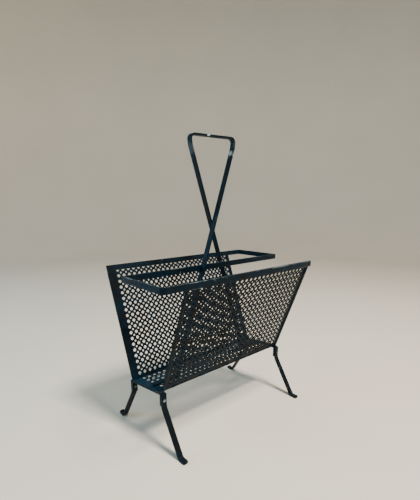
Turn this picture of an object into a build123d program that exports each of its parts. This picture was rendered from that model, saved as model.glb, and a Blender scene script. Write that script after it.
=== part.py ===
"""Perforated-steel magazine rack: two flared side panels on a narrow base, an S-shaped top rail
that makes two compartments, a carrying handle with crossed legs, and four splayed flat-bar legs.

Millimetres. +X runs along the rack, +Y to its back, +Z up. The origin is on the floor under the
middle. The rack looks the same after half a turn about Z, so most pieces come in such pairs:
side is -1 for the front or left one and 1 for the back or right one.
"""
from build123d import *
from math import atan2, cos, hypot, sin, tan
import os

# ---- driving dimensions -------------------------------------------------------------------
bar_width = 9.5          # all the flat bar stock, 3/8 x 1/8 inch
bar_thickness = 3.2
sheet = 1.0              # perforated sheet

base_height = 94.0       # top face of the base plate above the floor
base_length = 286.0      # measured along X, the same at every Y
base_width = 62.0
base_skew = 14.0         # how far the back edge is shifted towards -X from the front edge

panel_length = 280.0
panel_shift = 11.0       # front panel towards +X, back panel towards -X
panel_lean = 3.6         # the side edges lean this much towards the longer end, bottom to top
panel_bottom = 30.4      # |Y| of the panel's outer face at its bottom edge
rail_height = 280.0      # top edge of the rail and of the panels
rail_y = 98.4            # |Y| of the rail's centre line
rail_corner_x = 165.0    # where the long run turns in
rail_end_x = 170.4       # where the end run meets the middle bar
rail_bend = 7.0          # bend radius on the rail's centre line
joint_gap = 0.1          # slack where the end run butts against the middle bar

pitch = 10.0             # perforation: large holes on a square grid, small ones in between
large_hole = 6.2
small_hole = 4.0
hem_width = 6.0          # the panel's side edges are folded back on the outside
hem_start = 2.0          # the hem starts this far up the slope, clear of the base
hem_gap = 12.0           # and stops this far below the panel's top edge, under the rail

handle_height = 489.0    # top of the grip
grip_length = 83.0
grip_bend = 7.0
shoulder_x = 39.5        # half width at the shoulders, where the sides straighten
shoulder_drop = 16.0
shoulder_bend = 40.0
handle_foot_x = 86.5     # where a handle leg meets the base
handle_foot_end = 133.0
handle_foot_bend = 6.0

tab_bottom = 71.0        # lower end of a strap's down-turned tab
leg_top = 92.0
leg_bend_z = 69.0        # where a leg starts to splay
leg_bend = 14.0
leg_heel_y = 79.0        # |Y| where a leg reaches the floor
leg_heel_bend = 5.0
foot_flat = 8.5          # flat part of the foot, then the lifted toe
toe_length = 5.5
toe_lift = 1.5
toe_round = 3.0
rivet_diameter = 3.2
rivet_head = 6.0
rivet_head_height = 1.8
rivet_z = 81.0

weld = 2.5               # leg of a weld bead
seam_weld_length = 12.0
rail_weld_length = 10.0

# ---- worked out ---------------------------------------------------------------------------
half_thickness = bar_thickness / 2
tab_y = base_width / 2 + bar_thickness                # outer face of a tab
leg_y = tab_y + half_thickness                        # leg's centre line beside its tab
leg_x = (base_length - bar_width) / 2                 # leg centre, before the skew
panel_top = rail_y - half_thickness                   # outer face's top edge, against the rail
panel_rise = rail_height - base_height
panel_slope = hypot(panel_top - panel_bottom, panel_rise)
flare = atan2(panel_top - panel_bottom, panel_rise)
handle_y = half_thickness + bar_width / 2             # a handle leg passes beside the middle bar
rail_bottom = rail_height - bar_width

os.makedirs("parts", exist_ok=True)


def save(builder, name):
    """Name a finished piece and write its STEP file."""
    builder.part.label = name
    export_step(builder.part, f"parts/{name}.step")


def skewed(x, y):
    """A point of the base after the skew."""
    return (x - base_skew * y / base_width, y)


def grid(columns, rows, first_x, first_y):
    """Centres of a square grid of holes."""
    return [(first_x + column * pitch, first_y + row * pitch)
            for column in range(columns) for row in range(rows)]


# ---- side panels --------------------------------------------------------------------------
def leaned(low_x, high_x, low_y, high_y):
    """Corners of a strip of the panel whose sides lean with the panel's side edges."""
    corners = (low_x, low_y), (high_x, low_y), (high_x, high_y), (low_x, high_y)
    return [(x + panel_lean * (y / panel_slope - 0.25), y) for x, y in corners]


def panel(side, first_column, first_row, small_columns):
    """A flared panel, drawn on its outer face with y up the slope and x towards its longer end.
    The first column and row of large holes are measured from its short end and its bottom edge."""
    outward = (0, side * cos(flare), -sin(flare))
    face = Plane(origin=(0, side * panel_bottom, base_height), x_dir=(-side, 0, 0), z_dir=outward)
    left = panel_shift - panel_length / 2
    right = left + panel_length
    hem_end = panel_slope - hem_gap
    first_x = left + first_column
    large_holes = grid(26, 19, first_x, first_row)
    small_holes = grid(small_columns, 18, first_x + pitch / 2, first_row + pitch / 2)
    with BuildPart() as body:
        with BuildSketch(face):
            Polygon(*leaned(left, right, 0, panel_slope), align=None)
            with Locations(large_holes):
                Circle(large_hole / 2, mode=Mode.SUBTRACT)
            with Locations(small_holes):
                Circle(small_hole / 2, mode=Mode.SUBTRACT)
        extrude(amount=-sheet)
        with BuildSketch(face):
            Polygon(*leaned(left, left + hem_width, hem_start, hem_end), align=None)
            Polygon(*leaned(right - hem_width, right, hem_start, hem_end), align=None)
        extrude(amount=sheet)
    return body


save(panel(-1, 11.6, 11.5, 26), "front_panel")
save(panel(1, 13.8, 7.7, 25), "back_panel")

# ---- base plate ---------------------------------------------------------------------------
half_length = base_length / 2
half_width = base_width / 2
with BuildPart() as base_plate:
    with BuildSketch(Plane.XY.offset(base_height)):
        with BuildLine():
            Polyline(skewed(-half_length, -half_width), skewed(half_length, -half_width),
                     skewed(half_length, half_width), skewed(-half_length, half_width), close=True)
        make_face()
        with Locations([skewed(x, y) for x, y in grid(26, 6, -12.5 * pitch, -2.5 * pitch)]):
            Circle(large_hole / 2, mode=Mode.SUBTRACT)
        with Locations([skewed(x, y) for x, y in grid(25, 5, -12 * pitch, -2 * pitch)]):
            Circle(small_hole / 2, mode=Mode.SUBTRACT)
    extrude(amount=-sheet)
save(base_plate, "base_plate")


# ---- top rail: two bent outer bars and the middle bar -------------------------------------
def outer_rail(side):
    """Long run over a panel's top edge, a bend, then the end run in to the middle bar, on edge."""
    centre_z = rail_height - bar_width / 2
    start = (-side * (panel_length / 2 + panel_shift), side * rail_y, centre_z)
    corner = (side * rail_corner_x, side * rail_y, centre_z)
    end = (side * rail_end_x, side * (half_thickness + joint_gap), centre_z)
    with BuildPart() as body:
        with BuildLine() as route:
            FilletPolyline(start, corner, end, radius=rail_bend)
        with BuildSketch(Plane(origin=start, x_dir=(0, 1, 0), z_dir=(side, 0, 0))):
            Rectangle(bar_thickness, bar_width)
        sweep(path=route.wire())
    return body


save(outer_rail(-1), "front_rail")
save(outer_rail(1), "back_rail")

with BuildPart() as middle_rail:
    with Locations((0, 0, rail_height)):
        Box(2 * rail_end_x + bar_thickness, bar_thickness, bar_width,
            align=(Align.CENTER, Align.CENTER, Align.MAX))
save(middle_rail, "middle_rail")

# ---- handle -------------------------------------------------------------------------------
# One strip, with its width along Y all the way: foot, leg in front of the middle bar, grip, leg behind
# the middle bar, foot. The grip runs slightly askew to join the two legs.
foot_z = base_height + half_thickness
grip_z = handle_height - half_thickness
front_half = [(-handle_foot_end, -handle_y, foot_z), (-handle_foot_x, -handle_y, foot_z),
              (shoulder_x, -handle_y, grip_z - shoulder_drop), (grip_length / 2, -handle_y, grip_z)]
back_half = [(-x, -y, z) for x, y, z in reversed(front_half)]
bends = [handle_foot_bend, shoulder_bend, grip_bend]
with BuildPart() as handle:
    with BuildLine() as strip_line:
        FilletPolyline(*front_half, *back_half, radius=bends + bends[::-1])
    with BuildSketch(Plane(origin=front_half[0], x_dir=(0, 1, 0), z_dir=(1, 0, 0))):
        Rectangle(bar_width, bar_thickness)
    strip_route = strip_line.wire()
    sweep(path=strip_route, binormal=strip_route.translate((0, 30, 0)))
save(handle, "handle")


# ---- straps under the base, with a down-turned tab at each end ----------------------------
def strap(side):
    """A skewed strip across under one end of the base, and its two tabs with rivet holes."""
    inner_x = side * (base_length / 2 - bar_width)
    outer_x = side * base_length / 2
    top = base_height - sheet
    with BuildPart() as body:
        with BuildSketch(Plane.XY.offset(top)):
            with BuildLine():
                Polyline(skewed(inner_x, -half_width), skewed(outer_x, -half_width),
                         skewed(outer_x, half_width), skewed(inner_x, half_width), close=True)
            make_face()
        extrude(amount=-bar_thickness)
        for end in (-1, 1):
            tab_x = skewed(side * leg_x, end * half_width)[0]
            with Locations((tab_x, end * (tab_y - half_thickness), top)):
                Box(bar_width, bar_thickness, top - tab_bottom,
                    align=(Align.CENTER, Align.CENTER, Align.MAX))
            outer_edge = body.edges().filter_by(Axis.X).group_by(Axis.Z)[-1].sort_by(Axis.Y)
            fillet(outer_edge[0 if end < 0 else -1], radius=bar_thickness * 0.8)
            with Locations(Plane(origin=(tab_x, end * tab_y, rivet_z), z_dir=(0, end, 0))):
                Hole(rivet_diameter / 2, depth=bar_thickness)
    return body


save(strap(-1), "left_strap")
save(strap(1), "right_strap")


# ---- legs and their rivets ----------------------------------------------------------------
def leg(side, end):
    """A flat bar beside its tab, splayed out to a heel on the floor, then a flat foot with a
    slightly lifted round toe. side is -1 for the left, end is -1 for the front."""
    x = skewed(side * leg_x, end * half_width)[0]
    route_points = [(x, end * leg_y, leg_top), (x, end * leg_y, leg_bend_z),
                    (x, end * leg_heel_y, half_thickness),
                    (x, end * (leg_heel_y + foot_flat), half_thickness),
                    (x, end * (leg_heel_y + foot_flat + toe_length), half_thickness + toe_lift)]
    with BuildPart() as body:
        with BuildLine() as route:
            FilletPolyline(*route_points, radius=[leg_bend, leg_heel_bend, leg_bend])
        with BuildSketch(Plane(origin=route_points[0], x_dir=(1, 0, 0), z_dir=(0, 0, -1))):
            Rectangle(bar_width, bar_thickness)
        sweep(path=route.wire())
        toe_face = body.faces().sort_by(Axis.Y)[0 if end < 0 else -1]
        toe_corners = toe_face.edges().sort_by(Axis.X)
        fillet([toe_corners[0], toe_corners[-1]], radius=toe_round)
        with Locations(Plane(origin=(x, end * (tab_y + bar_thickness), rivet_z), z_dir=(0, end, 0))):
            Hole(rivet_diameter / 2, depth=bar_thickness)
    return body


corners = {"front_left": (-1, -1), "front_right": (1, -1), "back_left": (-1, 1), "back_right": (1, 1)}
for corner_name, (side, end) in corners.items():
    save(leg(side, end), f"leg_{corner_name}")

with BuildPart() as leg_rivets:
    for side, end in corners.values():
        x = skewed(side * leg_x, end * half_width)[0]
        grip = 2 * bar_thickness
        with BuildSketch(Plane(origin=(x, end * half_width, rivet_z), x_dir=(0, end, 0), z_dir=(-end, 0, 0))):
            with BuildLine():
                Polyline((grip, rivet_head / 2), (grip, rivet_diameter / 2), (0, rivet_diameter / 2),
                         (0, rivet_head / 2), (-rivet_head_height, rivet_diameter / 2),
                         (-rivet_head_height, 0), (grip + rivet_head_height, 0))
                ThreePointArc((grip + rivet_head_height, 0),
                              (grip + rivet_head_height * 0.78, rivet_head * 0.32), (grip, rivet_head / 2))
            make_face()
        revolve(axis=Axis((x, end * half_width, rivet_z), (0, end, 0)))
save(leg_rivets, "leg_rivets")

# ---- weld beads ---------------------------------------------------------------------------
# Panels to base: short beads in the outer corner under the flared panel.
bead_top = (panel_bottom + weld * tan(flare), base_height + weld)
with BuildPart() as seam_welds:
    for side in (-1, 1):
        for station in range(-2, 3):
            start_x = side * panel_shift * -1 + station * 60.0 - seam_weld_length / 2
            with BuildSketch(Plane.YZ.offset(start_x)):
                with BuildLine():
                    Polyline((side * panel_bottom, base_height), (side * half_width, base_height),
                             (side * half_width, base_height - sheet),
                             (side * (half_width + 1), base_height - sheet / 2),
                             (side * bead_top[0], bead_top[1]), close=True)
                make_face()
            extrude(amount=seam_weld_length)
save(seam_welds, "seam_welds")

# Panels to rail: beads in the wedge behind the rail, and one in the corner at each end of the
# middle bar.
wedge_z = rail_bottom + 0.5
wedge_y = panel_top - (rail_height - wedge_z) * tan(flare)
with BuildPart() as rail_welds:
    for side in (-1, 1):
        for station in range(-2, 3):
            start_x = side * panel_shift * -1 + station * 60.0 - rail_weld_length / 2
            with BuildSketch(Plane.YZ.offset(start_x)):
                with BuildLine():
                    Polyline((side * panel_top, rail_height), (side * panel_top, wedge_z),
                             (side * wedge_y, wedge_z), close=True)
                make_face()
            extrude(amount=rail_weld_length)
        corner_x = side * (rail_end_x - half_thickness - 2 * joint_gap)
        with BuildSketch(Plane.XY.offset(rail_bottom)):
            with BuildLine():
                Polyline((corner_x, side * half_thickness), (corner_x - side * weld, side * half_thickness),
                         (corner_x - side * joint_gap, side * (half_thickness + weld)), close=True)
            make_face()
        extrude(amount=bar_width)
save(rail_welds, "rail_welds")

# Handle: a bead above and below the middle bar behind each leg, and one at each foot's end.
leg_run = (shoulder_x + handle_foot_x) / (grip_z - shoulder_drop - foot_z)
with BuildPart() as handle_welds:
    for side in (-1, 1):
        for bar_z, up in ((rail_height, 1), (rail_bottom, -1)):
            cross_x = side * (handle_foot_x - leg_run * (bar_z + up * weld / 2 - foot_z))
            with BuildSketch(Plane.YZ.offset(cross_x - half_thickness * 0.8)):
                with BuildLine():
                    Polyline((side * half_thickness, bar_z), (-side * half_thickness * 0.4, bar_z),
                             (side * half_thickness, bar_z + up * weld), close=True)
                make_face()
            extrude(amount=bar_thickness * 0.8)
        with BuildSketch(Plane.XZ.offset(-side * (handle_y - bar_width / 2))):
            with BuildLine():
                Polyline((side * handle_foot_end, base_height), (side * (handle_foot_end + weld), base_height),
                         (side * handle_foot_end, base_height + weld), close=True)
            make_face()
        extrude(amount=-side * bar_width)
save(handle_welds, "handle_welds")
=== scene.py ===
"""Magazine rack in blue-black enamelled steel: perforated sheets, flat bar, rivets and weld beads.

Metres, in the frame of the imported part: +X along the rack, +Y to its back, +Z up, the origin on the
floor under the middle. The rack looks the same after half a turn about Z, so most pieces come in
pairs: side is -1 for the front or left one and 1 for the back or right one.
"""
from math import cos, pi, radians, sin

import bmesh
import bpy
import numpy as np
from mathutils import Matrix, Vector


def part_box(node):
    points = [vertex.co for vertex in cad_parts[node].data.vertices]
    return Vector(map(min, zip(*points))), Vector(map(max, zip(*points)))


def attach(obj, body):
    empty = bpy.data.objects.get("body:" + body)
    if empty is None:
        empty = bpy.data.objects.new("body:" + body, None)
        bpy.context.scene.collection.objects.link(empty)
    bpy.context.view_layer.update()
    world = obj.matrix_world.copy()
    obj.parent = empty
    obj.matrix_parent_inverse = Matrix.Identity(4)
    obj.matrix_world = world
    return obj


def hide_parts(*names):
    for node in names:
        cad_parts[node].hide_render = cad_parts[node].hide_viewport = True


bl_info = {
    "name": "Magazine rack",
    "version": (1, 0, 0),
    "blender": (4, 5, 0),
    "location": "3D View > Sidebar > Rack",
    "description": "Builds a perforated steel magazine rack around its packed frame",
    "category": "Object",
}

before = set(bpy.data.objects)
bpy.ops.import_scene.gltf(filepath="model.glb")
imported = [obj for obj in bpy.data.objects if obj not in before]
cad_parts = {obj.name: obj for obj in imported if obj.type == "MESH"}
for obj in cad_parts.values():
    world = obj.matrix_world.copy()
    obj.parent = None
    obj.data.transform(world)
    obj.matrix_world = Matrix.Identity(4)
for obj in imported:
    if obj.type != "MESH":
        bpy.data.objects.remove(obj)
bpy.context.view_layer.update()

MM = 0.001
X_AXIS, Y_AXIS, Z_AXIS = np.eye(3)


# ---- sizes that the frame gives ------------------------------------------------------------
def span(name, axis):
    """Lowest and highest coordinate of a frame node along one axis, 0 for X to 2 for Z."""
    low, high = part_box(name)
    return low[axis], high[axis]


BASE_TOP = span("base_plate", 2)[1]
BASE_HALF_WIDTH = span("base_plate", 1)[1]
RAIL_TOP = span("middle_rail", 2)[1]
BAR_WIDTH = RAIL_TOP - span("middle_rail", 2)[0]
BAR_THICKNESS = 2 * span("middle_rail", 1)[1]
HALF_BAR = BAR_THICKNESS / 2
SHEET = BASE_TOP - span("base_plate", 2)[0]
RAIL_Y = span("back_rail", 1)[1] - HALF_BAR
RAIL_END = span("middle_rail", 0)[1] - HALF_BAR
HANDLE_TOP = span("handle", 2)[1]
HANDLE_END = span("handle", 0)[1]
HANDLE_Y = HALF_BAR + BAR_WIDTH / 2
TAB_Y = BASE_HALF_WIDTH + BAR_THICKNESS

# the panels: their side edges lean a little, and their outer faces have a bottom and a top edge
PANEL_LEAN = 3.6 * MM
PANEL_LENGTH = span("front_panel", 0)[1] - span("front_panel", 0)[0] - PANEL_LEAN
PANEL_SHIFT = sum(span("front_panel", 0)) / 2 - PANEL_LEAN / 4
PANEL_BOTTOM = BASE_HALF_WIDTH - 0.6 * MM
PANEL_TOP = RAIL_Y - HALF_BAR
RISE = np.array([PANEL_TOP - PANEL_BOTTOM, RAIL_TOP - BASE_TOP])
PANEL_SLOPE = float(np.hypot(*RISE))
UP_Y, UP_Z = RISE / PANEL_SLOPE

# ---- the part's other sizes ----------------------------------------------------------------
SKEW = 14.0 / 62.0                  # the base's back edge is shifted towards -X
LEG_X = 138.25 * MM                 # leg centre, before the skew
PITCH = 10 * MM                     # perforation
COLUMNS, ROWS = 26, 19              # large holes in a panel
BASE_ROWS = 6
SMALL_RADIUS = 1.8 * MM
HEM_START, HEM_GAP = 2 * MM, 12 * MM
CORNER_X = 165 * MM                 # where a rail's long run turns in
RAIL_BEND = 7 * MM
JOINT_GAP = 0.1 * MM
FOOT_X = 86.5 * MM                  # where a handle leg meets the base
SHOULDER_X, SHOULDER_DROP = 39.5 * MM, 16 * MM
HALF_GRIP = 41.5 * MM
HANDLE_BENDS = [6 * MM, 40 * MM, 7 * MM]
LEG_BEND_Z = 69 * MM                # where a leg starts to splay
HEEL_Y, FLAT_END_Y, TOE_Y = 79 * MM, 87.5 * MM, 93 * MM
TOE_LIFT, TOE_RADIUS = 1.5 * MM, 3 * MM
LEG_BENDS = [14 * MM, 5 * MM, 14 * MM]
RIVET_RADIUS, RIVET_RISE = 3 * MM, 1.8 * MM
WELD_STATIONS = np.arange(-2, 3) * 60 * MM
CORNERS = ((-1, "left", -1, "front"), (-1, "left", 1, "back"),
           (1, "right", -1, "front"), (1, "right", 1, "back"))


# ---- surfaces ------------------------------------------------------------------------------
def unit(vectors):
    """Vectors divided by their own lengths."""
    return vectors / np.linalg.norm(vectors, axis=-1, keepdims=True)


def rounded_route(corners, radii, steps=9):
    """Straight runs through the corner points with an arc at each inner one. An arc touches both
    runs at radius / tan(h) from the corner and its centre is at radius / sin(h) along the bisector,
    with h half the angle between the runs."""
    corners = np.array(corners, float)
    parts = [corners[:1]]
    for before, corner, after, radius in zip(corners, corners[1:], corners[2:], radii):
        back, ahead = unit(before - corner), unit(after - corner)
        half = np.arccos(np.clip(back @ ahead, -1, 1)) / 2
        centre = corner + unit(back + ahead) * radius / sin(half)
        start = corner + back * radius / np.tan(half) - centre
        end = corner + ahead * radius / np.tan(half) - centre
        turn = pi - 2 * half
        share = np.linspace(0, 1, steps)[:, None]
        parts.append(centre + (np.sin((1 - share) * turn) * start + np.sin(share * turn) * end) / sin(turn))
    parts.append(corners[-1:])
    return np.concatenate(parts)


def cut_back(route, distance):
    """The route with its first stretch of this length replaced by one point on its first run."""
    first = unit(route[1] - route[0])
    return np.concatenate([[route[0] + first * distance], route[1:]])


def bar_profile(width, thickness, rounding):
    """Rounded rectangle as (across, through) pairs: at each corner a flat point, three points of a
    quarter circle and a flat point. Also gives 1 for the corner points and 0 for the flat ones."""
    turn = np.radians([0, 45, 90])
    corner = np.stack([np.cos(turn), np.sin(turn)], 1) * rounding
    inset = rounding * 2.2
    quarter = [np.array([rounding, rounding - inset]), *corner, np.array([rounding - inset, rounding])]
    points = []
    for sx, sy in ((1, 1), (-1, 1), (-1, -1), (1, -1)):
        centre = np.array([sx * (width / 2 - rounding), sy * (thickness / 2 - rounding)])
        turned = [centre + np.array([sx * a, sy * b]) for a, b in quarter]
        points += turned if sx * sy > 0 else turned[::-1]
    edge = np.tile([0.0, 1.0, 1.0, 1.0, 0.0], 4)
    return np.array(points), edge


def carried_bar(route, across, last_end=None):
    """A flat bar's rounded profile carried along a route. Each profile stands on the bisector of
    the two runs that meet at its point, widened by 1 / cos of half the turn so that the bar keeps its
    thickness, and its width always lies along the vector across. An end is drawn in as its rows of
    (distance, inset of the width, inset of the thickness) say, by a rounding if none are given."""
    rounding = rack().bar_rounding
    start_end = rounding * np.array([[0, 1, 1], [0.3, 0.29, 0.29], [1, 0, 0]])
    last_end = start_end if last_end is None else last_end
    inner = cut_back(cut_back(route, start_end[-1, 0])[::-1], last_end[-1, 0])[::-1]
    first, last = unit(route[1] - route[0]), unit(route[-2] - route[-1])
    centres = np.concatenate([route[0] + start_end[:-1, :1] * first, inner,
                              (route[-1] + last_end[:-1, :1] * last)[::-1]])
    insets = np.zeros((len(centres), 2))
    insets[:len(start_end) - 1] = start_end[:-1, 1:]
    insets[len(centres) - len(last_end) + 1:] = last_end[:-1, 1:][::-1]
    runs = np.diff(centres, axis=0)
    runs = unit(runs - (runs @ across)[:, None] * across)
    tangent = unit(np.concatenate([runs[:1], runs[:-1] + runs[1:], runs[-1:]]))
    stretch = 1 / np.clip((np.concatenate([runs[:1], runs]) * tangent).sum(1), 0.5, 1)
    through = np.cross(tangent, across) * stretch[:, None]
    profile, corner = bar_profile(BAR_WIDTH, BAR_THICKNESS, rounding)
    shrink = 1 - insets / (np.array([BAR_WIDTH, BAR_THICKNESS]) / 2)
    flat = profile[None] * shrink[:, None]
    points = centres[:, None] + flat[..., :1] * across + flat[..., 1:] * through[:, None]
    edge = np.tile(corner, (len(centres), 1))
    edge[:2] = edge[-2:] = 1
    return points, edge


def grid_faces(rows, columns):
    """Quads of a grid whose columns close on themselves."""
    row, column = np.meshgrid(np.arange(rows - 1), np.arange(columns), indexing="ij")
    after = (column + 1) % columns
    quads = np.stack([row * columns + column, row * columns + after,
                      (row + 1) * columns + after, (row + 1) * columns + column], -1)
    return quads.reshape(-1, 4)


def closed_tube(points, edge):
    """Points of a grid of profiles as one closed mesh, with a flat cap at each end."""
    rows, columns = points.shape[:2]
    faces = grid_faces(rows, columns).tolist()
    faces.append(list(range(columns)))
    faces.append(list(range((rows - 1) * columns, rows * columns)))
    return points.reshape(-1, 3), faces, edge.ravel()


def lathe(profile, origin, axis, side_axis, turns=20):
    """A profile of (height, radius) pairs turned round the axis through the origin."""
    angle = np.linspace(0, 2 * pi, turns, endpoint=False)
    other = np.cross(axis, side_axis)
    ring = np.cos(angle)[:, None] * side_axis + np.sin(angle)[:, None] * other
    height, radius = np.array(profile, float).T
    return origin + height[:, None, None] * axis + radius[:, None, None] * ring


def bead(start, end, across, radii):
    """A weld bead along a straight line: an ellipse whose size follows (1 - |2s - 1|^4)^1/2 along the
    line, s running from 0 to 1, times 1 + 0.12 sin for its four ripples."""
    start, line = np.asarray(start, float), np.subtract(end, start)
    share = 0.5 - 0.5 * np.cos(np.linspace(0, pi, 17))
    ripple = 1 + 0.12 * np.sin(8 * pi * share)
    size = np.sqrt(np.clip(1 - np.abs(2 * share - 1) ** 4, 0, 1)) * ripple
    angle = np.linspace(0, 2 * pi, 12, endpoint=False)
    other = np.cross(unit(line), across)
    ring = np.cos(angle)[:, None] * radii[0] * across + np.sin(angle)[:, None] * radii[1] * other
    return start + share[:, None, None] * line + size[:, None, None] * ring


def turned_mesh(points, wear):
    """A mesh of rings that close at both ends by themselves, with an edge value for each ring."""
    rows, columns = points.shape[:2]
    return points.reshape(-1, 3), grid_faces(rows, columns).tolist(), np.repeat(wear, columns)


def joined(parts):
    """Several (points, faces, edge) meshes as one."""
    points, faces, edges, first = [], [], [], 0
    for some_points, some_faces, some_edges in parts:
        points.append(some_points)
        faces += [[first + corner for corner in face] for face in some_faces]
        edges.append(some_edges)
        first += len(some_points)
    return np.concatenate(points), faces, np.concatenate(edges)


# ---- perforated sheet ----------------------------------------------------------------------
class Sheet:
    """Collects a flat sheet's faces as (x, y, depth) points. Depth runs from 0 on the outer face to
    the sheet's thickness on the inner one."""

    def __init__(self):
        self.points, self.faces, self.edges, self.count = [], [], [], 0

    def add(self, points, faces, edge):
        """Adds points (n, 3), quads (m, 4) that index them, and each point's edge value."""
        self.points.append(points)
        self.faces.append(faces + self.count)
        self.edges.append(np.broadcast_to(edge, len(points)))
        self.count += len(points)

    def strip(self, one, other, edge_one=0.0, edge_other=0.0):
        """Quads between two lines of points with as many points each."""
        count = len(one)
        first = np.arange(count - 1)
        quads = np.stack([first, first + 1, first + 1 + count, first + count], 1)
        self.add(np.concatenate([one, other]), quads,
                 np.concatenate([np.broadcast_to(edge_one, count), np.broadcast_to(edge_other, count)]))

    def both_faces(self, one, other):
        """The same strip on the outer and on the inner face."""
        for depth in (0.0, SHEET):
            self.strip(at_depth(one, depth), at_depth(other, depth))


def at_depth(flat, depth):
    """Flat (x, y) points with a depth."""
    return np.concatenate([flat, np.full((len(flat), 1), depth)], 1)


def hole_outline(angle, half_diagonal, power):
    """Radius of a rounded diamond, the superellipse |x|^p + |y|^p = a^p, at each angle."""
    return half_diagonal * (np.abs(np.cos(angle)) ** power + np.abs(np.sin(angle)) ** power) ** (-1 / power)


def perforated_sheet(low, high, first, columns, rows, extra_column=False, skew=0.0):
    """A sheet from corner low to corner high, with rows and columns of large holes from the centre
    first, and a small hole between every four of them. Each large hole has a square cell. A cell is a
    ring of 16 quads between the hole's outline and the cell's, where the small holes take quarter
    circles out of its corners. Plain strips fill the margins, and a rounded rim runs round the edge."""
    settings = rack()
    half, small = PITCH / 2, SMALL_RADIUS
    slant = small * cos(pi / 4)
    stations = np.meshgrid(np.arange(columns), np.arange(rows), indexing="ij")
    column, row = stations[0].ravel(), stations[1].ravel()
    centre = np.stack([first[0] + column * PITCH, first[1] + row * PITCH], 1)
    is_small = np.zeros((columns + 1, rows + 1), bool)
    is_small[1:columns + extra_column, 1:rows] = True

    corner_with = np.array([[half, half - small], [half - slant, half - slant],
                            [half - small, half], [0, half]])
    corner_without = corner_with.copy()
    corner_without[1] = half
    turns = [np.array([[cos(a), sin(a)], [-sin(a), cos(a)]]) for a in np.arange(4) * pi / 2]
    corner_steps = ((1, 1), (0, 1), (0, 0), (1, 0))
    present = np.stack([is_small[column + dx, row + dy] for dx, dy in corner_steps], 1)
    ring_with = np.concatenate([corner_with @ turn for turn in turns])
    ring_without = np.concatenate([corner_without @ turn for turn in turns])
    held = np.repeat(present, 4, axis=1)
    outline = centre[:, None] + np.where(held[..., None], ring_with, ring_without)

    def skewed(points, anchor):
        """Points shifted along X by the skew of the heights in anchor."""
        moved = points.copy()
        moved[..., 0] -= skew * anchor
        return moved

    # points of a small hole are shifted with its centre, all others with themselves
    corner_y = np.stack([centre[:, 1] + (2 * dy - 1) * half for _, dy in corner_steps], 1)
    hole_y = np.repeat(corner_y, 4, axis=1)
    on_arc = held & (np.arange(16) % 4 != 3)
    outline = skewed(outline, np.where(on_arc, hole_y, outline[..., 1]))

    angle = np.arctan2(ring_with[:, 1], ring_with[:, 0])
    radius = hole_outline(angle, settings.hole_half_diagonal, settings.hole_power)
    direction = np.stack([np.cos(angle), np.sin(angle)], 1)
    around = skewed(centre, centre[:, 1])[:, None]
    rims = [(0.0, radius + settings.hole_rollover), (settings.hole_rollover * 1.3, radius), (SHEET, radius)]
    sheet = Sheet()
    cells = len(centre)
    layers = [np.concatenate([outline, np.full((cells, 16, 1), depth)], 2) for depth in (0.0, SHEET)]
    layers += [np.concatenate([around + direction * size[:, None], np.full((cells, 16, 1), depth)], 2)
               for depth, size in rims]
    points = np.stack(layers, 1).reshape(-1, 3)
    here = np.arange(16)
    after = (here + 1) % 16
    pairs = [(0, 2), (2, 3), (3, 4), (4, 1)]
    cell_quads = np.concatenate([np.stack([a * 16 + here, a * 16 + after, b * 16 + after, b * 16 + here], 1)
                                 for a, b in pairs])
    starts = np.arange(cells) * 80
    sheet.add(points, (starts[:, None, None] + cell_quads).reshape(-1, 4),
              np.tile(np.repeat([0, 0, 0.6, 0.3, 0.3], 16), cells))
    # walls of the small holes, a quarter in each cell
    cell, corner = np.nonzero(present)
    for step in (0, 1):
        near = cell * 80 + corner * 4 + step
        sheet.faces.append(np.stack([near, near + 1, near + 17, near + 16], 1))

    # margins: each side's line of points along the cells, and the same line at the rim
    rim = 0.6 * MM
    left, right = first[0] - half, first[0] + (columns - 0.5) * PITCH
    bottom, top = first[1] - half, first[1] + (rows - 0.5) * PITCH
    low_x, high_x, low_y, high_y = low[0] + rim, high[0] - rim, low[1] + rim, high[1] - rim

    def along(start, count):
        """Stations along a side of the field: at each cell's corner, and beside it, and half way."""
        steps = np.array([0, small, half, PITCH - small])
        cells = start + np.arange(count)[:, None] * PITCH + steps
        return np.concatenate([cells.ravel(), [start + count * PITCH]])

    def upright(x, ys):
        """A line of points up the sheet."""
        flat = np.stack([np.full(len(ys), x), ys], 1)
        return skewed(flat, flat[:, 1])

    def level(xs, y):
        """A line of points along the sheet."""
        flat = np.stack([xs, np.full(len(xs), y)], 1)
        return skewed(flat, flat[:, 1])

    ys = along(bottom, rows)
    xs = np.concatenate([[low_x], along(left, columns), [high_x]])
    sheet.both_faces(upright(left, ys), upright(low_x, ys))
    sheet.both_faces(level(xs, bottom), level(xs, low_y))
    sheet.both_faces(level(xs, top), level(xs, high_y))
    if extra_column:
        bulge_y = np.array([-small, -slant, 0, slant, small])
        bulge_x = np.array([0, slant, small, slant, 0])
        inner = bottom + np.arange(1, rows) * PITCH
        arc_y = inner[:, None] + bulge_y
        mid_y = np.concatenate([[bottom + half], inner + half])
        arcs = np.stack([np.tile(right + bulge_x, (rows - 1, 1)), arc_y], 2)
        between = np.stack([np.full((rows - 1, 1), right), mid_y[1:, None]], 2)
        line = np.concatenate([[[right, bottom], [right, bottom + small], [right, mid_y[0]]],
                               np.concatenate([arcs, between], 1).reshape(-1, 2),
                               [[right, top - small], [right, top]]])
        ys_right = line[:, 1]
        sheet.both_faces(line, upright(high_x, ys_right))
        for arc in arcs:
            sheet.strip(at_depth(arc, 0.0), at_depth(arc, SHEET))
    else:
        ys_right = ys
        sheet.both_faces(upright(right, ys), upright(high_x, ys))

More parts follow.
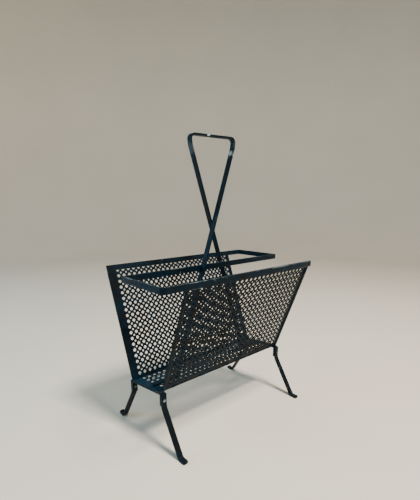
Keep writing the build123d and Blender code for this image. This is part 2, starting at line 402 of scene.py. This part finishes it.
    # rounded rim all the way round
    loop = np.concatenate([np.stack([xs, np.full(len(xs), low_y)], 1),
                           np.stack([np.full(len(ys_right), high_x), ys_right], 1),
                           np.stack([xs[::-1], np.full(len(xs), high_y)], 1),
                           np.stack([np.full(len(ys), low_x), ys[::-1]], 1)])
    loop = np.concatenate([loop, loop[:1]])
    outwards = np.stack([(loop[:, 0] >= high_x - 1e-9) * 1.0 - (loop[:, 0] <= low_x + 1e-9),
                         (loop[:, 1] >= high_y - 1e-9) * 1.0 - (loop[:, 1] <= low_y + 1e-9)], 1)
    turn = 0.2 * MM
    round_the_rim = [(0, 0, 0), (rim - turn, 0, 0.5), (rim - 0.3 * turn, 0.3 * turn, 1), (rim, turn, 1),
                     (rim, SHEET - turn, 1), (rim - 0.3 * turn, SHEET - 0.3 * turn, 1),
                     (rim - turn, SHEET, 0.5), (0, SHEET, 0)]
    rings = []
    for out, depth, worn in round_the_rim:
        flat = loop + outwards * out
        rings.append((at_depth(skewed(flat, flat[:, 1]), depth), worn))
    for (one, worn_one), (other, worn_other) in zip(rings, rings[1:]):
        sheet.strip(one, other, worn_one, worn_other)
    return np.concatenate(sheet.points), np.concatenate(sheet.faces), np.concatenate(sheet.edges)


def hem_profile(width):
    """The fold's free layer, seen along the edge: (across, outwards) pairs with rounded corners."""
    turn = 0.42 * SHEET
    angle = np.radians([0, 30, 60, 90])
    edge_side = np.stack([turn * (1 - np.cos(angle)), SHEET - turn + turn * np.sin(angle)], 1)
    free_side = np.stack([width - turn * (1 - np.sin(angle)), SHEET - turn * (1 - np.cos(angle))], 1)
    sunk, bevel = 0.02 * SHEET, 0.12 * SHEET
    foot = np.array([[width, bevel], [width - bevel, sunk], [0, sunk]])
    return np.concatenate([edge_side, free_side, foot])


# ---- meshes --------------------------------------------------------------------------------
def finished(name, mesh_parts, material, nodes, sharp=40):
    """Turns (points, faces, edge) into a piece that replaces its frame nodes."""
    points, faces, edge = mesh_parts
    mesh = bpy.data.meshes.new(name)
    faces = faces.tolist() if isinstance(faces, np.ndarray) else faces
    mesh.from_pydata(points.tolist(), [], faces)
    attribute = mesh.attributes.new("edge", "FLOAT", "POINT")
    attribute.data.foreach_set("value", np.ascontiguousarray(edge, np.float32))
    work = bmesh.new()
    work.from_mesh(mesh)
    bmesh.ops.remove_doubles(work, verts=work.verts, dist=2e-6)
    bmesh.ops.recalc_face_normals(work, faces=work.faces)
    open_edges = sum(not side.is_manifold for side in work.edges)
    if open_edges:
        raise RuntimeError(f"{name} has {open_edges} open edges")
    work.to_mesh(mesh)
    work.free()
    mesh.shade_smooth()
    mesh.set_sharp_from_angle(angle=radians(sharp))
    mesh.materials.append(material)
    piece = bpy.data.objects.new(name, mesh)
    bpy.context.scene.collection.objects.link(piece)
    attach(piece, "root")
    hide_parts(*nodes)
    return piece


# ---- shader groups -------------------------------------------------------------------------
def feed(tree, made, values):
    """Links or sets a node's inputs, given by name or number."""
    for key, value in values.items():
        if isinstance(value, bpy.types.NodeSocket):
            tree.links.new(value, made.inputs[key])
        else:
            made.inputs[key].default_value = value


def node(tree, kind, values=None, **settings):
    """Adds a node, sets its settings and feeds its inputs."""
    made = tree.nodes.new(kind)
    for key, value in settings.items():
        setattr(made, key, value)
    feed(tree, made, values or {})
    return made


def maths(tree, operation, *values, clamp=False):
    """A Math node's output."""
    made = node(tree, "ShaderNodeMath", dict(enumerate(values)), operation=operation, use_clamp=clamp)
    return made.outputs[0]


def object_place(tree):
    """Object coordinates."""
    return node(tree, "ShaderNodeTexCoord").outputs["Object"]


def noise(tree, scale, detail=3.0, roughness=0.55, distortion=0.0):
    """Noise on Object coordinates, as a value."""
    values = {"Vector": object_place(tree), "Scale": scale, "Detail": detail, "Roughness": roughness,
              "Distortion": distortion}
    return node(tree, "ShaderNodeTexNoise", values).outputs["Fac"]


def ramp(tree, value, low, high):
    """0 below low, 1 above high, smooth in between."""
    return node(tree, "ShaderNodeMapRange", {"Value": value, "From Min": low, "From Max": high},
                interpolation_type="SMOOTHSTEP").outputs["Result"]


def new_group(name, inputs, outputs):
    """A new shader group with float and vector inputs and float outputs: the group, what its input
    node gives and what its output node takes."""
    group = bpy.data.node_groups.new(name, "ShaderNodeTree")
    for label, default in inputs.items():
        kind = "NodeSocketVector" if isinstance(default, tuple) else "NodeSocketFloat"
        group.interface.new_socket(label, in_out="INPUT", socket_type=kind).default_value = default
    for label in outputs:
        group.interface.new_socket(label, in_out="OUTPUT", socket_type="NodeSocketFloat")
    given, out = group.nodes.new("NodeGroupInput"), group.nodes.new("NodeGroupOutput")
    return group, given.outputs, out.inputs


def edge_wear_group():
    """Paint worn off along edges: the piece's edge value plus fine and broad noise, above a level
    that falls as Amount rises."""
    tree, given, out = new_group("edge_wear", {"Edge": 0.0, "Amount": 0.2, "Grain": 700.0}, ["Mask"])
    fine = noise(tree, given["Grain"], 4.0, 0.7)
    broad = noise(tree, 34.0, 2.0)
    total = maths(tree, "MULTIPLY", given["Edge"], 0.55)
    total = maths(tree, "MULTIPLY_ADD", fine, 0.5, total)
    total = maths(tree, "MULTIPLY_ADD", broad, 0.75, total)
    level = maths(tree, "SUBTRACT", 1.45, given["Amount"])
    over = maths(tree, "SUBTRACT", total, level)
    tree.links.new(maths(tree, "MULTIPLY", over, 14.0, clamp=True), out["Mask"])
    return tree


def chips_group():
    """Small chips knocked out of the paint: cells of a Voronoi pattern, kept where each cell's random
    colour lies below Amount."""
    tree, given, out = new_group("chips", {"Amount": 0.2, "Scale": 260.0}, ["Mask"])
    cells = node(tree, "ShaderNodeTexVoronoi",
                 {"Vector": object_place(tree), "Scale": given["Scale"], "Randomness": 1.0})
    ragged = maths(tree, "MULTIPLY_ADD", noise(tree, 1800.0, 3.0), 0.5, cells.outputs["Distance"])
    near = maths(tree, "SUBTRACT", 1.0, ramp(tree, ragged, 0.36, 0.42))
    picked = node(tree, "ShaderNodeSeparateColor", {"Color": cells.outputs["Color"]}).outputs[0]
    kept = maths(tree, "LESS_THAN", picked, given["Amount"])
    tree.links.new(maths(tree, "MULTIPLY", near, kept), out["Mask"])
    return tree


def enamel_skin_group():
    """Brushed-on enamel: broad tone, which sets where the teal shows, partly the enamel's own teal and
    partly a painted teal reflection; orange peel with runs for the bump, and how dull each spot is.
    """
    tree, given, out = new_group("enamel_skin", {"Peel": 1100.0}, ["Tone", "Height", "Dull"])
    tone = ramp(tree, noise(tree, 26.0, 3.0, 0.6, 0.6), 0.26, 0.56)
    peel = noise(tree, given["Peel"], 2.0, 0.5)
    runs = noise(tree, 190.0, 3.0, 0.55)
    tree.links.new(tone, out["Tone"])
    tree.links.new(maths(tree, "MULTIPLY_ADD", runs, 1.6, peel), out["Height"])
    tree.links.new(ramp(tree, noise(tree, 75.0, 4.0, 0.65), 0.35, 0.7), out["Dull"])
    return tree


def dust_and_top_highlight_group():
    """Dust that settles on faces turned upwards, thicker in patches; the same lighter layer paints a
    highlight on the upward faces.
    """
    tree, given, out = new_group("dust_and_top_highlight_layer", {"Amount": 0.3}, ["Mask"])
    normal = node(tree, "ShaderNodeNewGeometry").outputs["Normal"]
    upward = node(tree, "ShaderNodeSeparateXYZ", {"Vector": normal}).outputs["Z"]
    lying = ramp(tree, upward, 0.35, 0.95)
    patches = ramp(tree, noise(tree, 140.0, 5.0, 0.7), 0.3, 0.75)
    mask = maths(tree, "MULTIPLY", maths(tree, "MULTIPLY", lying, patches), given["Amount"])
    tree.links.new(mask, out["Mask"])
    return tree


def rubbed_group():
    """A spot where hands have rubbed the paint: distance from a centre, broken up by noise."""
    tree, given, out = new_group("rubbed_spot", {"Centre": (0.0, 0.0, 0.0), "Radius": 0.01}, ["Mask"])
    away = node(tree, "ShaderNodeVectorMath", {0: object_place(tree), 1: given["Centre"]},
                operation="DISTANCE")
    near = maths(tree, "DIVIDE", away.outputs["Value"], given["Radius"])
    broken = maths(tree, "MULTIPLY_ADD", noise(tree, 420.0, 4.0, 0.65), 1.5, near)
    tree.links.new(maths(tree, "SUBTRACT", 1.0, ramp(tree, broken, 1.15, 1.5)), out["Mask"])
    return tree


GROUPS = {"edge_wear": edge_wear_group, "chips": chips_group, "enamel_skin": enamel_skin_group,
          "dust_and_top_highlight_layer": dust_and_top_highlight_group, "rubbed_spot": rubbed_group}


def grouped(tree, name, values=None):
    """Places a shader group, which is built the first time it is asked for."""
    group = bpy.data.node_groups.get(name) or GROUPS[name]()
    placed = tree.nodes.new("ShaderNodeGroup")
    placed.node_tree = group
    feed(tree, placed, values or {})
    return placed.outputs


def blended(tree, factor, one, other):
    """A colour mixed from one to other."""
    mixed = node(tree, "ShaderNodeMix", data_type="RGBA")
    feed(tree, mixed, {0: factor, 6: one, 7: other})
    return mixed.outputs[2]


def opaque(colour):
    """A property's colour with an alpha of 1."""
    return (*colour, 1.0)


def enamel(name, wear, chips, dust_and_top_highlight, rough, bump, spots=(), tone=1.0):
    """The rack's enamel on one kind of piece: two tones, whose teal share is partly the enamel's own and
    partly a painted teal reflection, an olive film that is partly patina and partly a painted reflection of
    the warm floor, edge wear and chips down to pale primer, a dusty layer that settles on upward faces and
    also paints a top highlight, and rubbed spots as (centre, radius, strength)."""
    paint = bpy.context.scene.rack_paint
    material = bpy.data.materials.new(name)
    material.use_nodes = True
    tree = material.node_tree
    shader = tree.nodes["Principled BSDF"]
    skin = grouped(tree, "enamel_skin")
    edge = node(tree, "ShaderNodeAttribute", attribute_name="edge").outputs["Fac"]
    worn = grouped(tree, "edge_wear", {"Edge": edge, "Amount": wear})["Mask"]
    chipped = grouped(tree, "chips", {"Amount": chips})["Mask"]
    bare = maths(tree, "MAXIMUM", maths(tree, "MULTIPLY", worn, 0.75), chipped)
    for centre, radius, strength in spots:
        spot = grouped(tree, "rubbed_spot", {"Centre": centre, "Radius": radius})["Mask"]
        bare = maths(tree, "MAXIMUM", bare, maths(tree, "MULTIPLY", spot, strength))
    # Dust and a painted top highlight share this lighter layer on upward faces.
    dust_and_top_highlight_mask = grouped(tree, "dust_and_top_highlight_layer", {"Amount": dust_and_top_highlight})["Mask"]
    # how much teal shows: partly the enamel's own teal, partly a painted teal reflection, set per kind of
    # piece by tone
    teal_and_painted_reflection = maths(tree, "MULTIPLY", skin["Tone"], tone)
    tones = blended(tree, teal_and_painted_reflection, opaque(paint.dark), opaque(paint.blue))
    # the olive film is partly patina and partly a painted reflection of the warm floor
    olive = ramp(tree, noise(tree, 58.0, 4.0, 0.65), 0.5, 0.72)
    tones = blended(tree, maths(tree, "MULTIPLY", olive, 0.55), tones, opaque(paint.olive))
    primed = blended(tree, bare, tones, opaque(paint.primer))
    colour = blended(tree, dust_and_top_highlight_mask, primed, opaque(paint.dust_and_top_highlight))
    tree.links.new(colour, shader.inputs["Base Color"])
    roughness = maths(tree, "MULTIPLY_ADD", skin["Dull"], 0.22, rough)
    roughness = maths(tree, "MULTIPLY_ADD", bare, 0.2, roughness)
    roughness = maths(tree, "MULTIPLY_ADD", dust_and_top_highlight_mask, 0.35, roughness, clamp=True)
    tree.links.new(roughness, shader.inputs["Roughness"])
    height = maths(tree, "SUBTRACT", skin["Height"], maths(tree, "MULTIPLY", bare, 1.5))
    relief = node(tree, "ShaderNodeBump", {"Height": height, "Strength": bump, "Distance": 0.0003})
    tree.links.new(relief.outputs["Normal"], shader.inputs["Normal"])
    shader.inputs["Specular IOR Level"].default_value = 0.09
    return material


# ---- what a user would change --------------------------------------------------------------
class RackShape(bpy.types.PropertyGroup):
    """Sizes of the rack's finished edges and holes."""
    bar_rounding: bpy.props.FloatProperty(
        name="Bar rounding", description="Radius along the flat bar's edges",
        default=0.45 * MM, unit="LENGTH")
    hole_half_diagonal: bpy.props.FloatProperty(
        name="Hole half diagonal", description="Centre of a large hole to its rounded point",
        default=2.95 * MM, unit="LENGTH")
    hole_power: bpy.props.FloatProperty(
        name="Hole roundness",
        description="Power of the large holes' outline: 1 is a diamond, 2 is a circle",
        default=1.4, min=1.0, max=2.0)
    hole_rollover: bpy.props.FloatProperty(
        name="Hole rollover", description="How far the sheet is rounded into a punched hole",
        default=0.18 * MM, unit="LENGTH")
    hem_width: bpy.props.FloatProperty(
        name="Hem width", description="Width of the folded side edges",
        default=6 * MM, unit="LENGTH")


def colour_property(label, words, default):
    """A colour that the panel shows as a swatch."""
    return bpy.props.FloatVectorProperty(
        name=label, description=words, default=default, subtype="COLOR", size=3, min=0.0, max=1.0)


class RackPaint(bpy.types.PropertyGroup):
    """Colours of the enamel, what shows under it, and the stage."""
    dark: colour_property("Blue-black", "Darker tone of the enamel", (0.0018, 0.0026, 0.0034))
    # the deep teal is partly the enamel's own colour and partly a painted teal reflection
    blue: colour_property("Deep teal", "Bluer tone of the enamel", (0.0004, 0.0135, 0.0280))
    # the olive is partly patina and partly a painted reflection of the warm floor
    olive: colour_property("Olive patina", "Brownish film on the enamel", (0.0060, 0.0052, 0.0028))
    primer: colour_property("Primer", "Pale primer under chips and worn edges", (0.30, 0.37, 0.39))
    # Dust colour, which also paints a highlight on upward faces.
    dust_and_top_highlight: colour_property("Dust", "Dust on upward faces", (0.060, 0.085, 0.090))
    stage: colour_property("Stage", "Floor and backdrop", (0.82, 0.73, 0.61))


def rack():
    """The rack's sizes."""
    return bpy.context.scene.rack_shape


# ---- operators: one for each piece or group of like pieces ---------------------------------
# Tone sets how much teal shows, partly a painted teal reflection. Dust here also stands for a painted top
# highlight.
SHEET_FINISH = dict(wear=0.08, chips=0.012, dust_and_top_highlight=0.10, rough=0.42, bump=0.35, tone=0.55)
BAR_FINISH = dict(wear=0.12, chips=0.015, dust_and_top_highlight=0.15, rough=0.38, bump=0.4, tone=0.35)


def lean_at(height):
    """How far the panel's side edges are shifted at a height up the slope: they lean towards the
    panel's longer end by PANEL_LEAN in all, a quarter of it back at the bottom edge."""
    return PANEL_LEAN * (height / PANEL_SLOPE - 0.25)


def sloped(side, flat):
    """Places (x, y, depth) points on a panel: y up its slope, depth inwards from its outer face, and
    x towards its longer end."""
    outwards = np.array([0, side * UP_Z, -UP_Y])
    origin = np.array([0, side * PANEL_BOTTOM, BASE_TOP])
    up = np.array([0, side * UP_Y, UP_Z])
    return origin + flat[:, :1] * np.array([-side, 0, 0]) + flat[:, 1:2] * up - flat[:, 2:] * outwards


class RACK_OT_panels(bpy.types.Operator):
    """Makes the two flared panels of perforated sheet with their folded side edges"""
    bl_idname = "rack.panels"
    bl_label = "Side panels"

    def execute(self, context):
        settings = rack()
        finish = enamel("sheet_enamel", **SHEET_FINISH)
        left = PANEL_SHIFT - PANEL_LENGTH / 2
        right = left + PANEL_LENGTH
        profile = hem_profile(settings.hem_width)
        profile_wear = [1, 1, 1, 1, 0.5, 0.5, 0.5, 0.5, 0, 0, 0]
        bevel, low, high = 0.3 * MM, HEM_START, PANEL_SLOPE - HEM_GAP
        hem_stations = ((low, 0.3), (low + bevel, 0.0), (high - bevel, 0.0), (high, 0.3))
        # the first column and row of large holes, from the short end and from the bottom edge
        for side, name, column, row, extra in ((-1, "front_panel", 11.6 * MM, 11.5 * MM, True),
                                               (1, "back_panel", 13.8 * MM, 7.7 * MM, False)):
            points, faces, edge = perforated_sheet((left, 0), (right, PANEL_SLOPE), (left + column, row),
                                                   COLUMNS, ROWS, extra)
            rim = np.abs(points[:, 0] - PANEL_SHIFT) > PANEL_LENGTH / 2 - 0.7 * MM
            points[rim, 0] += lean_at(points[rim, 1])
            parts = [(sloped(side, points), faces.tolist(), edge)]
            for edge_x, inwards in ((left, 1), (right, -1)):
                rings = []
                for up, drawn_in in hem_stations:
                    across = edge_x + lean_at(up) + inwards * profile[:, 0]
                    outwards = profile[:, 1] * (1 - drawn_in)
                    rings.append(sloped(side, np.stack([across, np.full(len(profile), up), -outwards], 1)))
                worn = np.tile(profile_wear, (len(rings), 1)).astype(float)
                parts.append(closed_tube(np.stack(rings), worn))
            finished(name + "_sheet", joined(parts), finish, [name])
        return {"FINISHED"}


class RACK_OT_base(bpy.types.Operator):
    """Makes the narrow perforated base plate, its ends askew"""
    bl_idname = "rack.base"
    bl_label = "Base plate"

    def execute(self, context):
        # The base gets full teal and an upward layer: partly real, partly a painted teal reflection and a
        # painted highlight on its top face.
        finish = enamel("base_enamel", wear=0.12, chips=0.015, dust_and_top_highlight=0.2, rough=0.40, bump=0.35)
        half_length = LEG_X + BAR_WIDTH / 2
        first = (-(COLUMNS - 1) / 2 * PITCH, -(BASE_ROWS - 1) / 2 * PITCH)
        points, faces, edge = perforated_sheet((-half_length, -BASE_HALF_WIDTH),
                                               (half_length, BASE_HALF_WIDTH), first,
                                               COLUMNS, BASE_ROWS, skew=SKEW)
        points = np.stack([points[:, 0], points[:, 1], BASE_TOP - points[:, 2]], 1)
        finished("base_sheet", (points, faces, edge), finish, ["base_plate"])
        return {"FINISHED"}


class RACK_OT_rails(bpy.types.Operator):
    """Bends the two outer rails and lays the straight middle bar between them"""
    bl_idname = "rack.rails"
    bl_label = "Top rails"

    def execute(self, context):
        # The rails get more teal and a heavier upward layer: partly real, partly a painted teal reflection
        # and a painted highlight along their top edges.
        finish = enamel("rail_enamel", wear=0.22, chips=0.02, dust_and_top_highlight=0.45, rough=0.36, bump=0.4, tone=0.6)
        height = RAIL_TOP - BAR_WIDTH / 2
        for side, name in ((-1, "front_rail"), (1, "back_rail")):
            corners = [(-side * (PANEL_LENGTH / 2 + PANEL_SHIFT), side * RAIL_Y, height),
                       (side * CORNER_X, side * RAIL_Y, height),
                       (side * RAIL_END, side * (HALF_BAR + JOINT_GAP), height)]
            route = rounded_route(corners, [RAIL_BEND])
            finished(name + "_bar", closed_tube(*carried_bar(route, Z_AXIS)), finish, [name])
        end = RAIL_END + HALF_BAR
        route = np.array([(-end, 0, height), (0, 0, height), (end, 0, height)])
        finished("middle_rail_bar", closed_tube(*carried_bar(route, Z_AXIS)), finish, ["middle_rail"])
        return {"FINISHED"}


class RACK_OT_handle(bpy.types.Operator):
    """Bends the handle from one strip: foot, leg, grip, leg and foot"""
    bl_idname = "rack.handle"
    bl_label = "Handle"

    def execute(self, context):
        foot_z, grip_z = BASE_TOP + HALF_BAR, HANDLE_TOP - HALF_BAR
        half = [(-HANDLE_END, -HANDLE_Y, foot_z), (-FOOT_X, -HANDLE_Y, foot_z),
                (SHOULDER_X, -HANDLE_Y, grip_z - SHOULDER_DROP), (HALF_GRIP, -HANDLE_Y, grip_z)]
        other = [(-x, -y, z) for x, y, z in reversed(half)]
        route = rounded_route(half + other, HANDLE_BENDS + HANDLE_BENDS[::-1])
        spots = (((0.037, -HANDLE_Y, 0.463), 0.008, 0.6), ((0.036, -HANDLE_Y, 0.457), 0.004, 1.0),
                 ((-0.038, HANDLE_Y, 0.466), 0.014, 0.12), ((-0.010, -0.0045, HANDLE_TOP), 0.005, 1.0))
        finish = enamel("handle_enamel", wear=0.14, chips=0.02, dust_and_top_highlight=0.1, rough=0.36, bump=0.4,
                        spots=spots, tone=0.5)
        finished("handle_bar", closed_tube(*carried_bar(route, Y_AXIS)), finish, ["handle"])
        return {"FINISHED"}


def corner_x(side, end):
    """Where a leg and its tab stand along X: side is -1 for the left, end is -1 for the front."""
    return side * LEG_X - SKEW * end * BASE_HALF_WIDTH


class RACK_OT_straps(bpy.types.Operator):
    """Bends the two straps that run across under the base and end in tabs"""
    bl_idname = "rack.straps"
    bl_label = "Straps"

    def execute(self, context):
        finish = enamel("strap_enamel", **BAR_FINISH)
        tab_low, fold = span("left_strap", 2)[0], 1.6 * MM
        centre_y, centre_z = TAB_Y - HALF_BAR, BASE_TOP - SHEET - HALF_BAR
        for side, name in ((-1, "left_strap"), (1, "right_strap")):
            front, back = corner_x(side, -1), corner_x(side, 1)
            corners = [(front, -centre_y, tab_low), (front, -centre_y, centre_z),
                       (back, centre_y, centre_z), (back, centre_y, tab_low)]
            route = rounded_route(corners, [fold, fold], 5)
            finished(name + "_bar", closed_tube(*carried_bar(route, X_AXIS)), finish, [name])
        return {"FINISHED"}


class RACK_OT_legs(bpy.types.Operator):
    """Bends the four splayed legs with their flat feet and round, lifted toes"""
    bl_idname = "rack.legs"
    bl_label = "Legs"

    def execute(self, context):
        finish = enamel("leg_enamel", **BAR_FINISH)
        leg_y = TAB_Y + HALF_BAR
        top = span("leg_back_left", 2)[1]
        # the toe's two corners are quarter circles, and its top and bottom edges are rounded
        distance = np.array([0, 0.2, 0.7, 1.6, 3.0]) * MM
        width_inset = TOE_RADIUS - np.sqrt(TOE_RADIUS ** 2 - (TOE_RADIUS - distance) ** 2)
        toe = np.stack([distance, width_inset, np.array([0.45, 0.1, 0, 0, 0]) * MM], 1)
        for side, across, end, along in CORNERS:
            x = corner_x(side, end)
            corners = [(x, end * leg_y, top), (x, end * leg_y, LEG_BEND_Z), (x, end * HEEL_Y, HALF_BAR),
                       (x, end * FLAT_END_Y, HALF_BAR), (x, end * TOE_Y, HALF_BAR + TOE_LIFT)]
            route = rounded_route(corners, LEG_BENDS)
            name = f"leg_{along}_{across}"
            finished(name + "_bar", closed_tube(*carried_bar(route, X_AXIS, toe)), finish, [name])
        return {"FINISHED"}


class RACK_OT_rivets(bpy.types.Operator):
    """Turns the round rivet heads that hold the legs to their tabs"""
    bl_idname = "rack.rivets"
    bl_label = "Rivets"

    def execute(self, context):
        finish = enamel("rivet_enamel", wear=0.42, chips=0.1, dust_and_top_highlight=0.2, rough=0.35, bump=0.25)
        height = sum(span("leg_rivets", 2)) / 2
        # a low dome: rise times sin against radius times cos^0.8, then a sunk underside
        swell, sunk = np.radians(np.linspace(90, 0, 8)), 0.05 * MM
        dome = np.stack([RIVET_RISE * np.sin(swell), RIVET_RADIUS * np.cos(swell) ** 0.8], 1)
        head = np.concatenate([dome, [[-sunk, RIVET_RADIUS * 0.97], [-sunk, 0]]])
        wear = np.linspace(1, 0.2, len(head))
        parts = []
        for side, _, end, _ in CORNERS:
            for face_y, way in ((TAB_Y + BAR_THICKNESS, end), (BASE_HALF_WIDTH, -end)):
                origin = np.array([corner_x(side, end), end * face_y, height])
                parts.append(turned_mesh(lathe(head, origin, way * Y_AXIS, X_AXIS), wear))
        finished("rivet_heads", joined(parts), finish, ["leg_rivets"], 60)
        return {"FINISHED"}


def beads_mesh(lines):
    """Weld beads, each given as (start, end, across, radii), as one mesh."""
    beads = [bead(*line) for line in lines]
    return joined([turned_mesh(points, np.full(len(points), 0.3)) for points in beads])


class RACK_OT_welds(bpy.types.Operator):
    """Lays the weld beads along the base, behind the rails and at the handle"""
    bl_idname = "rack.welds"
    bl_label = "Weld beads"

    def execute(self, context):
        finish = enamel("weld_enamel", wear=0.2, chips=0.02, dust_and_top_highlight=0.3, rough=0.4, bump=0.9)
        rail_low = RAIL_TOP - BAR_WIDTH
        leg_slope = (FOOT_X + SHOULDER_X) / (HANDLE_TOP - BASE_TOP - BAR_THICKNESS - SHOULDER_DROP)
        seams, rails, handles = [], [], []

        def lay(beads, axis, half_length, centre, across, *radii):
            """Adds a bead along an axis on both sides of its centre, all in millimetres but centre."""
            reach = axis * half_length * MM
            beads.append((centre - reach, centre + reach, across, [radius * MM for radius in radii]))

        for side in (-1, 1):
            for x in WELD_STATIONS - side * PANEL_SHIFT:
                seam = np.array([x, side * (PANEL_BOTTOM + 0.9 * MM), BASE_TOP + 0.6 * MM])
                lay(seams, X_AXIS, 6, seam, side * Y_AXIS, 0.9, 1.5)
                wedge = np.array([x, side * (PANEL_TOP - 1.4 * MM), rail_low + 1.2 * MM])
                lay(rails, X_AXIS, 5, wedge, side * Y_AXIS, 1.3, 1.1)
            joint = np.array([side * (RAIL_END - HALF_BAR - 0.5 * MM), side * (HALF_BAR + 0.5 * MM),
                              RAIL_TOP - BAR_WIDTH / 2])
            lay(rails, Z_AXIS, BAR_WIDTH / MM / 2 - 0.2, joint, X_AXIS, 1.3, 1.3)
            for z, lift in ((RAIL_TOP, 1), (rail_low, -1)):
                x = side * (FOOT_X - leg_slope * (z + lift * MM - BASE_TOP - HALF_BAR))
                crossing = np.array([x, side * (HALF_BAR - 0.4 * MM), z + lift * 0.3 * MM])
                lay(handles, X_AXIS, 1.6, crossing, side * Y_AXIS, 1.4, 1.2)
            foot = np.array([side * (HANDLE_END + 0.3 * MM), side * HANDLE_Y, BASE_TOP + 0.6 * MM])
            lay(handles, Y_AXIS, 3.6, foot, X_AXIS, 1.4, 1.0)
        finished("seam_weld_beads", beads_mesh(seams), finish, ["seam_welds"], 60)
        finished("rail_weld_beads", beads_mesh(rails), finish, ["rail_welds"], 60)
        finished("handle_weld_beads", beads_mesh(handles), finish, ["handle_welds"], 60)
        return {"FINISHED"}


def soft_light(name, place, target, size, watts, colour):
    """A square soft light that faces a target and isn't seen itself."""
    data = bpy.data.lights.new(name, "AREA")
    data.shape = "SQUARE"
    data.size = size
    data.energy = watts
    data.color = colour
    light = bpy.data.objects.new(name, data)
    light.location = place
    light.rotation_euler = (Vector(target) - Vector(place)).to_track_quat("-Z", "Y").to_euler()
    light.visible_camera = False
    bpy.context.scene.collection.objects.link(light)


class RACK_OT_stage(bpy.types.Operator):
    """Sets out the pale floor, the soft lights and the camera"""
    bl_idname = "rack.stage"
    bl_label = "Stage"

    def execute(self, context):
        scene = context.scene
        # a round floor that sweeps up into a wall: (height, radius) pairs, turned about Z
        floor_radius, bend, wall_height = 3.2, 1.2, 4.2
        sweep = np.radians(np.linspace(0, 90, 16))
        curve = np.stack([bend * (1 - np.cos(sweep)), floor_radius - bend + bend * np.sin(sweep)], 1)
        profile = np.concatenate([[[0, 0]], curve, [[wall_height, floor_radius]]])
        points = lathe(profile, np.array([0, 0, -0.2 * MM]), Z_AXIS, X_AXIS, 96)
        faces = grid_faces(*points.shape[:2])[:, ::-1]
        mesh = bpy.data.meshes.new("stage_floor")
        mesh.from_pydata(points.reshape(-1, 3).tolist(), [], faces.tolist())
        mesh.shade_smooth()
        floor = bpy.data.objects.new("stage_floor", mesh)
        scene.collection.objects.link(floor)
        material = bpy.data.materials.new("stage_paper")
        material.use_nodes = True
        tree = material.node_tree
        shader = tree.nodes["Principled BSDF"]
        pale = scene.rack_paint.stage
        mottle = ramp(tree, noise(tree, 2.2, 4.0), 0.3, 0.7)
        colour = blended(tree, mottle, opaque(pale), opaque([0.96 * part for part in pale]))
        tree.links.new(colour, shader.inputs["Base Color"])
        shader.inputs["Roughness"].default_value = 0.75
        mesh.materials.append(material)

        world = bpy.data.worlds.new("stage_air")
        world.use_nodes = True
        back = world.node_tree.nodes["Background"]
        back.inputs["Color"].default_value = (0.95, 0.97, 1.0, 1.0)
        back.inputs["Strength"].default_value = 0.14
        scene.world = world
        centre = (0, 0, 0.2)
        soft_light("overhead_light", (0.15, -0.7, 1.8), centre, 0.4, 58, (1.0, 0.95, 0.88))
        soft_light("side_light", (-1.8, 1.0, 0.75), centre, 1.3, 38, (0.25, 0.70, 1.0))
        soft_light("front_light", (0.6, -1.9, 0.7), centre, 1.4, 6, (1.0, 0.90, 0.74))

        azimuth, pitch, roll = radians(-39.945), radians(13.561), radians(-0.179)
        data = bpy.data.cameras.new("camera")
        data.lens, data.sensor_width = 24.173, 36.0
        data.shift_x, data.shift_y = 0.0038, 0.0713
        camera = bpy.data.objects.new("camera", data)
        camera.matrix_world = (Matrix.Translation((-0.38002, -0.44256, 0.37990))
                               @ Matrix.Rotation(azimuth, 4, "Z") @ Matrix.Rotation(pi / 2 - pitch, 4, "X")
                               @ Matrix.Rotation(roll, 4, "Z"))
        scene.collection.objects.link(camera)
        scene.camera = camera
        return {"FINISHED"}


class RACK_PT_sidebar(bpy.types.Panel):
    """Lists the rack's sizes, colours and pieces"""
    bl_idname = "RACK_PT_sidebar"
    bl_label = "Magazine rack"
    bl_space_type = "VIEW_3D"
    bl_region_type = "UI"
    bl_category = "Rack"

    def draw(self, context):
        column = self.layout.column()
        for settings in (context.scene.rack_shape, context.scene.rack_paint):
            for name in settings.__annotations__:
                column.prop(settings, name)
        for operator in OPERATORS:
            column.operator(operator.bl_idname)


OPERATORS = (RACK_OT_panels, RACK_OT_base, RACK_OT_rails, RACK_OT_handle, RACK_OT_straps, RACK_OT_legs,
             RACK_OT_rivets, RACK_OT_welds, RACK_OT_stage)
CLASSES = (RackShape, RackPaint, *OPERATORS, RACK_PT_sidebar)


def register():
    """Registers the property groups, the operators and the sidebar panel."""
    for kind in CLASSES:
        bpy.utils.register_class(kind)
    bpy.types.Scene.rack_shape = bpy.props.PointerProperty(type=RackShape)
    bpy.types.Scene.rack_paint = bpy.props.PointerProperty(type=RackPaint)


def unregister():
    """Undoes register."""
    del bpy.types.Scene.rack_shape
    del bpy.types.Scene.rack_paint
    for kind in reversed(CLASSES):
        bpy.utils.unregister_class(kind)


def main():
    register()
    bpy.ops.rack.panels()
    bpy.ops.rack.base()
    bpy.ops.rack.rails()
    bpy.ops.rack.handle()
    bpy.ops.rack.straps()
    bpy.ops.rack.legs()
    bpy.ops.rack.rivets()
    bpy.ops.rack.welds()
    bpy.ops.rack.stage()


if __name__ == "__main__":
    main()
